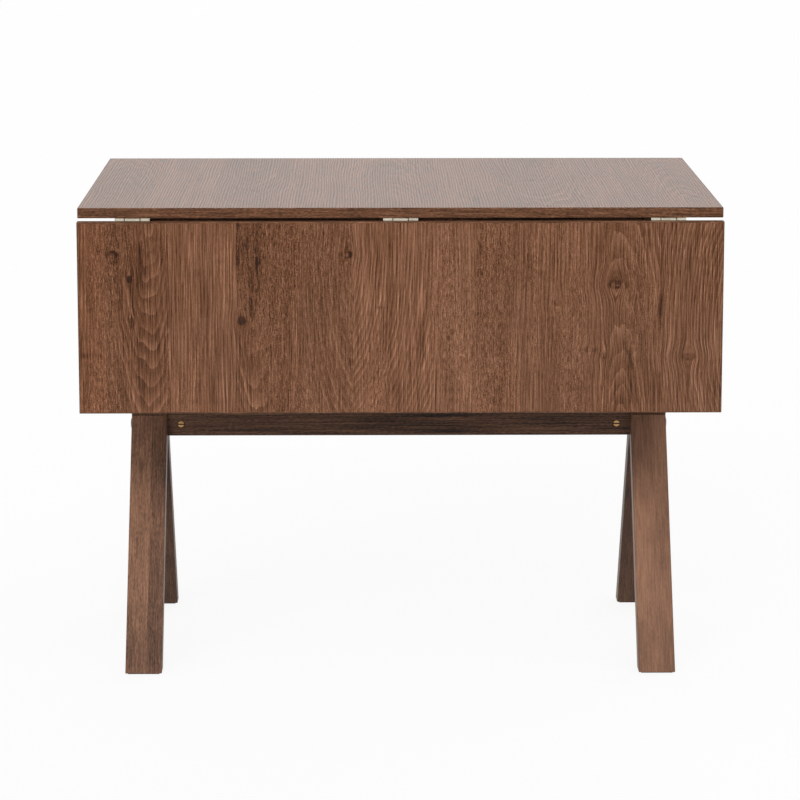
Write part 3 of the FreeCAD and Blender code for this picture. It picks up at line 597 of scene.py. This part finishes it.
def solid_wood(name, order, stops, seed, lean=0.0, strips=(), seam=None, cloud=0.4, fibre=0.5, run=16,
               fleck=0.3, wave=0.001):
    """Stained solid wood: clouds, fibres of so many to the metre along it, flecks, and waves in the lines
    of so many metres. A seam divides it into two strips."""
    material, tree, shader = new_finish(name)
    across, along, through = grain_of(tree, order, lean)
    waves = streaks(joined(across, along, through), 40, 50, seed + 17) * wave
    grain = joined(across + waves, along, through)
    coarse = streaks(grain, 60, 4, seed, detail=3.0)
    fibres = streaks(grain, 640, run, seed + 5, detail=0.0)
    flecks = streaks(grain, 750, 160, seed + 7, detail=0.0)
    blotch = streaks(grain, 22, 9, seed + 9)
    pores = step(streaks(grain, 420, 30, seed + 13), 0.1, 0.22)
    value = 0.5 + (coarse + blotch) * cloud + fibres * fibre + flecks * fleck - pores * 0.06
    if seam:
        height = grain_of(tree, "Z")[0] + streaks(grain, 160, 40, seed + 15) * STAIN_RAGGED
        value = value + strip_tones(across, height, strips, seam)

    feed(shader.inputs["Base Color"], ramp(value, *stops))
    feed(shader.inputs["Roughness"], STAIN_ROUGHNESS + pores * 0.2 + fibres * 0.15)
    shader.inputs["IOR"].default_value = STAIN_IOR
    emboss(tree, shader, fibres * 0.6 - pores, GRAIN_DEPTH)
    return material


print("stain thins out over", STAIN_RAGGED, "m")

# %% [markdown]
# The left front leg is glued up from two strips with a sharp seam beside its middle. The right one is a
# single board that is paler on one side, so its strips run into each other softly and have no glue line.

# %% The front legs
# Height in metres and tone in parts of 1, up each of the two strips.
LEFT_LEG_STRIPS = (
    ((0.03, 0.46), (0.15, 0.65), (0.26, 0.66), (0.30, 0.44), (0.38, 0.55)),
    ((0.09, 0.38), (0.21, 0.57), (0.30, 0.30), (0.38, 0.48)),
)
RIGHT_LEG_STRIPS = (
    ((0.04, 0.55), (0.10, 0.66), (0.22, 0.66), (0.32, 0.43), (0.38, 0.55)),
    ((0.04, 0.50), (0.10, 0.57), (0.30, 0.50), (0.38, 0.70)),
)
SEAM_ASIDE = 0.005
SHARP_EDGE = 0.0003
SOFT_EDGE = 0.012
GLUE_DARKNESS = 0.08

low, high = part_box("left_front_leg")
lean_angle = math.atan2(high.y - low.y, high.z - low.z)
leg_middle = (low.x + high.x) / 2
left_seam = (leg_middle + SEAM_ASIDE, SHARP_EDGE, GLUE_DARKNESS)
right_seam = (-leg_middle, SOFT_EDGE, 0.0)
left_front_wood = solid_wood("left_front_wood", "XZY", stained(0.92), 3.0, lean_angle, LEFT_LEG_STRIPS,
                             left_seam, cloud=0.3, fibre=0.4, fleck=0.4)
right_front_wood = solid_wood("right_front_wood", "XZY", stained(1.02), 33.0, lean_angle, RIGHT_LEG_STRIPS,
                              right_seam, cloud=0.25, fibre=0.28, fleck=0.15)
print("lean", round(math.degrees(lean_angle), 2), "seams at", round(left_seam[0], 4), round(right_seam[0], 4))

# %% [markdown]
# The rear legs have a darker stain than the front legs, as painted shade for the shade they stand in under
# the top and the leaf. The rails and the stretcher are darker as well. The rails are sawn so that their lines
# are long and a little wavy.

# %% The rear legs and the rails
RAIL_GRAIN = {"fibre": 1.3, "run": 6, "fleck": 0.7, "wave": 0.004}

# Painted shade: the rear legs' stain lets less light through than the front legs'.
rear_wood_shaded = solid_wood("rear_wood_shaded", "XZY", stained(0.62), 53.0, -lean_angle)
rail_along_x = solid_wood("rail_along_x", "ZXY", stained(0.54), 63.0, **RAIL_GRAIN)
rail_along_y = solid_wood("rail_along_y", "XYZ", stained(0.54), 73.0, **RAIL_GRAIN)
print("darker woods:", rear_wood_shaded.name, rail_along_x.name, rail_along_y.name)

# %% [markdown]
# ## Metal
# Hinges and barrel nuts are brass plated, the stays and the other fasteners zinc plated. Plating is
# smooth at this scale, with slight blotches where fingers and tools have been and fine scratches. A
# mirror-like metal would look new and out of scale, so the roughness follows the blotches too.

# %% Plating
# The colour of painted shade in the hinge seams, nut slots, bolt sockets and screw recesses.
PAINTED_SHADE = screen(34, 24, 16)
ZINC = screen(198, 197, 192)
BRIGHT_ZINC = screen(202, 202, 198)
# Bare steel for the hinge pins, made dark as painted shade in the narrow gaps between the knuckles.
SHADED_PIN_STEEL = screen(92, 84, 74)
PLATING_ROUGHNESS = 0.38
BLOTCH_SHARE = 0.72
SCRATCH_DEPTH = 0.00003


def plating(name, colour, roughness, seed, metallic=1.0):
    """Plated metal. Returns the material, its colour ready for painted shade, and the place on it."""
    material, tree, shader = new_finish(name)
    place = grain_of(tree, "XYZ")
    blotch = streaks(joined(*place), 60, 60, seed, detail=4.0)
    scratch = streaks(joined(*place), 900, 40, seed + 4)
    plated = mix(step(blotch, -0.1, 0.25), colour, shaded(colour, BLOTCH_SHARE))
    feed(shader.inputs["Base Color"], plated)
    feed(shader.inputs["Roughness"], roughness + blotch * 0.3 + scratch * 0.2)
    shader.inputs["Metallic"].default_value = metallic
    emboss(tree, shader, scratch, SCRATCH_DEPTH)
    return material, plated, place


zinc = plating("zinc", BRIGHT_ZINC, PLATING_ROUGHNESS, 25.0)[0]
pin_steel = plating("pin_steel", SHADED_PIN_STEEL, 0.5, 35.0)[0]
print("plain metals:", zinc.name, pin_steel.name)

# %% [markdown]
# ### Hinges
# The knuckles of each hinge turn on one pin. The solids have a gap in the seams between them, but it is too
# narrow to come out dark by its shade alone. So a dark bell of painted shade lies over each seam, close to
# the pin, and the plates are left plain.

# %% Hinges with dark seams
HINGES = ("left", "middle", "right")
PALE_BRASS = screen(240, 232, 212)
SEAM_FROM_MIDDLE = 0.01215
SEAM_WIDTH = 0.0009
SEAM_DARKNESS = 0.8
SEAM_REACH = 0.004
SEAM_END = 1.2 * SEAM_REACH

hinge_brass, plated, place = plating("hinge_brass", PALE_BRASS, PLATING_ROUGHNESS, 5.0, metallic=0.55)
seam_shade = place[0] * 0.0
for side in HINGES:
    low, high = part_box(side + "_hinge_leaf_plate")
    from_middle = (place[0] - (low.x + high.x) / 2).math("ABSOLUTE")
    seam_shade = seam_shade + bell((from_middle - SEAM_FROM_MIDDLE) / SEAM_WIDTH)
low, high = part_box("middle_hinge_pin")
pin = (low + high) / 2
from_pin = ((place[1] - pin.y) ** 2 + (place[2] - pin.z) ** 2) ** 0.5
seam_shade = seam_shade * step(from_pin * -1.0, -SEAM_END, -SEAM_REACH) * SEAM_DARKNESS
# Painted shade over the seams between the knuckles.
feed(hinge_brass.node_tree.nodes["Principled BSDF"].inputs["Base Color"], mix(seam_shade, plated, PAINTED_SHADE))
print("seams at", SEAM_FROM_MIDDLE, "m from each hinge's middle")

# %% [markdown]
# ### Nuts and bolts
# The slot of a barrel nut and the socket of a bolt lie in shade, and that shade is painted on. Both are cut
# below a flat face, so the metal turns dark by its depth behind that face, as painted shade. A middle that
# lies far away on one side of the face makes the depth count on that side alone.

# %% Nuts with dark slots
X, Y, Z = range(3)
FAR = 1.0
# Depths behind the face, in metres, where the painted shade starts and where it is full.
SHADE_STARTS = 0.0003
SHADE_FULL = 0.0012
BRASS = screen(204, 160, 108)


def recessed(name, colour, seed, axis, middle, reach, inward=False):
    """Plating with painted shade: it turns dark behind faces that lie a reach away from a middle along an
    axis. The metal is behind them outwards, or inwards for the heads at the two ends of something."""
    material, plated, place = plating(name, colour, PLATING_ROUGHNESS, seed, metallic=0.8)
    depth = (place[axis] - middle).math("ABSOLUTE") - reach
    if inward:
        depth = depth * -1.0
    # Painted shade, darker the deeper the metal lies behind the face.
    colour = mix(step(depth, SHADE_STARTS, SHADE_FULL), plated, PAINTED_SHADE)
    feed(material.node_tree.nodes["Principled BSDF"].inputs["Base Color"], colour)
    return material


nut_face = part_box("stretcher_barrel_nuts")[0].y
nut_depth = nut_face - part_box("stretcher")[0].y
stretcher_nuts = recessed("stretcher_nuts", BRASS, 15.0, Y, nut_face - FAR, FAR)
front_rail_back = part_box("front_rail")[1].y
rear_rail_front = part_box("rear_rail")[0].y
between_rails = (front_rail_back + rear_rail_front) / 2
rail_nuts = recessed("rail_nuts", BRASS, 45.0, Y, between_rails, rear_rail_front - between_rails + nut_depth)
print("nuts lie", round(1000 * nut_depth, 2), "mm deep")

# %% Bolts with dark sockets
bolt_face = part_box("stretcher_bolts")[1].x
bolt_zinc = recessed("bolt_zinc", ZINC, 55.0, X, 0.0, bolt_face, inward=True)
print("bolt heads end at", round(bolt_face, 4), "m from the middle")

# %% [markdown]
# ## Wood screws
# Countersunk screws hold the hinges, the brackets of the stays, the bearers and the rails. The solids
# give the place and size of each, with a plain head. A screwdriver needs a cross-shaped recess. It could
# be cut with a boolean, but a head that is built round a grid of three by three squares has cleaner
# faces: the corner squares go, the cross that is left is pushed in, and the rim is drawn out into the
# cone, the shank and the point.

# %% One screw
HEAD_SIDES = 24
MERGE_DISTANCE = 1e-6
# In parts of the head's radius, and the taper of the cross as a factor.
CROSS_REACH = 0.6
CROSS_DEPTH = 0.4
CROSS_TAPER = 0.6
CONE_HEIGHT = 0.5
SHANK = 0.5
POINT = 1.0


def parts_of(result, kind):
    return [part for part in result["geom"] if isinstance(part, kind)]


def draw_out(shape, rim, rise, spread):
    """Draw a rim of edges out by a rise while it spreads by a factor. Returns the new rim."""
    result = bmesh.ops.extrude_edge_only(shape, edges=rim)
    verts = parts_of(result, bmesh.types.BMVert)
    bmesh.ops.translate(shape, verts=verts, vec=(0, 0, rise))
    bmesh.ops.scale(shape, verts=verts, vec=(spread, spread, 1))
    return [edge for edge in parts_of(result, bmesh.types.BMEdge) if set(edge.verts) <= set(verts)]


def cross_screw(head, length):
    """A screw that points up, with the face of its head at the origin. Its head is given as a radius."""
    shape = bmesh.new()
    bmesh.ops.create_circle(shape, segments=HEAD_SIDES, radius=head)
    rim = list(shape.edges)
    bmesh.ops.create_grid(shape, x_segments=3, y_segments=3, size=CROSS_REACH * head)
    arm = CROSS_REACH * head / 3
    corners = [face for face in shape.faces if min(map(abs, face.calc_center_median().xy)) > arm]
    bmesh.ops.delete(shape, geom=corners, context="FACES")
    cross = list(shape.faces)
    border = [edge for edge in shape.edges if len(edge.link_faces) < 2]
    bmesh.ops.triangle_fill(shape, use_beauty=True, edges=border)

    sunk = parts_of(bmesh.ops.extrude_face_region(shape, geom=cross), bmesh.types.BMVert)
    bmesh.ops.delete(shape, geom=cross, context="FACES")
    bmesh.ops.translate(shape, verts=sunk, vec=(0, 0, CROSS_DEPTH * head))
    bmesh.ops.scale(shape, verts=sunk, vec=(CROSS_TAPER, CROSS_TAPER, 1))
    rim = draw_out(shape, rim, CONE_HEIGHT * head, SHANK)
    rim = draw_out(shape, rim, length - (CONE_HEIGHT + POINT) * head, 1.0)
    draw_out(shape, rim, POINT * head, 0.0)
    bmesh.ops.remove_doubles(shape, verts=shape.verts, dist=MERGE_DISTANCE)
    bmesh.ops.recalc_face_normals(shape, faces=shape.faces)

    mesh = bpy.data.meshes.new("screw")
    shape.to_mesh(mesh)
    shape.free()
    return mesh


trial = cross_screw(head=0.003, length=0.012)
print("faces of a screw:", len(trial.polygons))
bpy.data.meshes.remove(trial)

# %% [markdown]
# Identical screws share one node of the frame, as a group of loose solids. Each solid is found by
# walking from corner to corner along its edges, and its box gives the place of the new screw. No two
# screws stop at the same angle, so each is turned a little further than the last.

# %% The solids in a node
def solids_in(node):
    """The lowest and highest corners of each separate solid in a node."""
    shape = bmesh.new()
    shape.from_mesh(nodes[node].data)
    bmesh.ops.remove_doubles(shape, verts=shape.verts, dist=MERGE_DISTANCE)
    seen = set()
    corners = []
    for first in shape.verts:
        waiting = [] if first in seen else [first]
        seen.update(waiting)
        places = []
        while waiting:
            vert = waiting.pop()
            places.append(tuple(vert.co))
            near = {edge.other_vert(vert) for edge in vert.link_edges} - seen
            seen |= near
            waiting.extend(near)
        if places:
            corners.append((Vector(map(min, zip(*places))), Vector(map(max, zip(*places)))))
    shape.free()
    return corners


print("hinge screws in the top:", len(solids_in("hinge_top_screws")))

# %% Screws in their places
UP = Matrix.Identity(4)
FRONT = Matrix.Rotation(math.radians(90), 4, "X")
TWIST = 0.7
# What the screws hold, the body and the slot that they belong to, their colour and where they point.
SCREWS = (
    ("hinge_top", "base", "hinge_brass", PALE_BRASS, UP),
    ("hinge_leaf", "leaf", "hinge_brass", PALE_BRASS, FRONT),
    ("stay_bracket", "leaf", "fastener_steel", ZINC, FRONT),
    ("bearer", "base", "fastener_steel", ZINC, UP),
    ("rail", "base", "fastener_steel", ZINC, UP),
)


def place_screws(what, body, slot, colour, turn, seed):
    """New screws for one node, turned to point its way."""
    node = what + "_screws"
    ahead = turn.to_3x3() @ Vector((0, 0, 1))
    corners = solids_in(node)
    low, high = corners[0]
    length = abs((high - low).dot(ahead))
    heads = [(low + high) / 2 - ahead * length / 2 for low, high in corners]
    one = cross_screw((high.x - low.x) / 2, length)
    shape = bmesh.new()
    for number, head in enumerate(heads):
        before = len(shape.verts)
        shape.from_mesh(one)
        twist = Matrix.Rotation(TWIST * number, 4, "Z")
        shape.verts.ensure_lookup_table()
        bmesh.ops.transform(shape, matrix=Matrix.Translation(head) @ turn @ twist, verts=shape.verts[before:])
    mesh = bpy.data.meshes.new(what + "_cross_screws")
    shape.to_mesh(mesh)
    shape.free()
    bpy.data.meshes.remove(one)

    piece = bpy.data.objects.new(what + "_cross_screws", mesh)
    bpy.context.scene.collection.objects.link(piece)
    axis = Z if turn is UP else Y
    middle = (heads[0].dot(ahead) - FAR) * ahead[axis]
    # Painted shade in the cross recess of each head, by the same darkening by depth as the nuts.
    mesh.materials.append(recessed(what + "_screw_plating", colour, seed, axis, middle, FAR))
    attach(piece, body)
    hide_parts(node)
    return len(corners)


counts = [place_screws(*row, seed=65.0 + 10 * number) for number, row in enumerate(SCREWS)]
print("screws:", sum(counts))

# %% [markdown]
# ## Felt
# Each foot stands on a pad of pressed felt. Fur would be far too much for a pad of two millimetres, so
# fine noise gives the matted fibres their colour and their unevenness.

# %% Felt
FELT_STOPS = (
    (0.2, screen(40, 34, 30)),
    (0.8, screen(84, 74, 66)),
)
FELT_FIBRES = 1800
FELT_ROUGHNESS = 0.95
FELT_DEPTH = 0.0004


def felt_finish():
    material, tree, shader = new_finish("felt")
    place = joined(*grain_of(tree, "XYZ"))
    fibres = streaks(place, FELT_FIBRES, FELT_FIBRES, 6.0, detail=3.0)
    feed(shader.inputs["Base Color"], ramp(fibres + 0.5, *FELT_STOPS))
    shader.inputs["Roughness"].default_value = FELT_ROUGHNESS
    emboss(tree, shader, fibres, FELT_DEPTH)
    return material


felt = felt_finish()
print("felt has", FELT_FIBRES, "fibres to the metre")

# %% [markdown]
# ## Dressing the nodes
# Each node's slot in the record says what it is made of. Bands, legs and rails also need the finish
# that runs their way, so a second table names those nodes one by one and comes first.

# %% Dress the nodes
SLOT_FINISH = {
    "hinge_brass": hinge_brass,
    "stay_steel": zinc,
    "fastener_steel": zinc,
    "felt": felt,
}
FINISH_NODES = (
    (top_oak, ("top_panel",)),
    (leaf_oak, ("leaf_panel",)),
    (band_along_x, ("top_front_band", "top_rear_band", "leaf_joint_band", "leaf_free_band")),
    (band_along_y, ("top_left_band", "top_right_band")),
    (band_along_z, ("leaf_left_band", "leaf_right_band")),
    (left_front_wood, ("left_front_leg",)),
    (right_front_wood, ("right_front_leg",)),
    (rear_wood_shaded, ("left_rear_leg", "right_rear_leg")),
    (rail_along_x, ("stretcher", "front_rail", "rear_rail")),
    (rail_along_y, ("left_bearer", "right_bearer")),
    (pin_steel, tuple(side + "_hinge_pin" for side in HINGES)),
    (stretcher_nuts, ("stretcher_barrel_nuts",)),
    (rail_nuts, ("rail_barrel_nuts",)),
    (bolt_zinc, ("stretcher_bolts", "rail_bolts")),
)
node_finish = {node: finish for finish, names in FINISH_NODES for node in names}

for part in frame["record"]["subparts"]:
    name = part["node"]
    finish = node_finish.get(name) or SLOT_FINISH[part["material_slot"]]
    nodes[name].data.materials.clear()
    nodes[name].data.materials.append(finish)
print("dressed:", len(nodes))

# %% [markdown]
# ## Floor
# A studio floor is a white sweep of paper. Lit alone it would come out grey, and more light on it would
# bleach the table as well. So the camera sees it mostly as a glow, with a share of matte white that
# takes the table's soft shadow. Reflections show it only as a pool round the table, because a real sweep
# ends a few metres away. To all other light it is dark, and throws little up at the undersides.

# %% Floor
FLOOR_RADIUS = 40.0
FLOOR_BOUNCE = 0.05
FLOOR_WHITE = 0.95
FLOOR_LIFT = 0.88
FLOOR_POOL = 2.5

shape = bmesh.new()
bmesh.ops.create_circle(shape, cap_ends=True, radius=FLOOR_RADIUS, segments=96)
floor_mesh = bpy.data.meshes.new("floor")
shape.to_mesh(floor_mesh)
shape.free()
floor = bpy.data.objects.new("floor", floor_mesh)
bpy.context.scene.collection.objects.link(floor)

floor_finish, tree, shader = new_finish("floor")
tree.nodes.remove(shader)
path = add_node(tree, "LightPath")
place = Field(add_node(tree, "TexCoord").outputs["Object"])
distance = Field(add_node(tree, "VectorMath", operation="LENGTH", Vector=place).outputs["Value"])
mirrored = Field(path.outputs["Is Glossy Ray"]) * step(distance * -1.0, -2 * FLOOR_POOL, -FLOOR_POOL)
seen = Field(path.outputs["Is Camera Ray"]).math("MAXIMUM", mirrored)
seen = seen.math("MAXIMUM", Field(path.outputs["Is Transmission Ray"]))
grey = FLOOR_BOUNCE + seen * (FLOOR_WHITE - FLOOR_BOUNCE)
matte = add_node(tree, "BsdfDiffuse", Color=joined(grey, grey, grey))
glow = add_node(tree, "Emission", Color=(1, 1, 1, 1), Strength=1.0)
blend = add_node(tree, "MixShader", Fac=seen * FLOOR_LIFT)
feed(blend.inputs[1], Field(matte.outputs["BSDF"]))
feed(blend.inputs[2], Field(glow.outputs["Emission"]))
feed(tree.nodes["Material Output"].inputs["Surface"], Field(blend.outputs["Shader"]))
floor_mesh.materials.append(floor_finish)
print("floor radius", FLOOR_RADIUS)

# %% [markdown]
# ## World and suns
# The room is white to the eye, and as light it is half as strong. In reflections it is white behind the
# table and dark on the camera's side, as a studio is where the photographer stands. That gives the top
# its pale sheen and keeps the leaf's colours deep. Lamps close by would light the table unevenly, so
# three suns with a wide angle stand for large soft panels in front, on the right and behind. Only the
# one on the right shows in reflections, because the others would leave bright patches on the lacquer.

# %% World and suns
WORLD_LIGHT = 0.5
DARK_SIDE = 0.2
# Where white takes over from dark, as the share of a direction that points to the rear.
REAR_STARTS = -0.3
REAR_FULL = 0.4
# Name, direction towards it, strength, width in degrees and whether reflections show it.
SUNS = (
    ("key", (-0.4, -1.6, 0.6), 2.05, 50, False),
    ("fill", (0.9, -0.8, 0.9), 0.5, 80, True),
    ("back", (0.5, 1.6, 0.25), 2.0, 80, False),
)

world = bpy.data.worlds.new("studio")
bpy.context.scene.world = world
world.use_nodes = True
tree = world.node_tree
path = add_node(tree, "LightPath")
seen = Field(path.outputs["Is Camera Ray"]).math("MAXIMUM", Field(path.outputs["Is Transmission Ray"]))
direction = add_node(tree, "SeparateXYZ", Vector=Field(add_node(tree, "TexCoord").outputs["Generated"]))
rear = step(Field(direction.outputs["Y"]), REAR_STARTS, REAR_FULL)
mirrored = Field(path.outputs["Is Glossy Ray"]) * (rear * (1 - DARK_SIDE) + DARK_SIDE - WORLD_LIGHT)
background = tree.nodes["Background"]
background.inputs["Color"].default_value = (1, 1, 1, 1)
feed(background.inputs["Strength"], WORLD_LIGHT + seen * (1 - WORLD_LIGHT) + mirrored)

for name, toward, strength, angle, reflected in SUNS:
    lamp = bpy.data.lights.new(name, "SUN")
    lamp.energy = strength
    lamp.angle = math.radians(angle)
    sun = bpy.data.objects.new(name, lamp)
    sun.rotation_euler = Vector(toward).to_track_quat("Z", "Y").to_euler()
    sun.visible_glossy = reflected
    bpy.context.scene.collection.objects.link(sun)
print("suns:", len(SUNS))

# %% [markdown]
# ## Finish
# The view transform stays plain, so that colours come out as written.

# %% Finish
bpy.context.scene.view_settings.view_transform = "Standard"
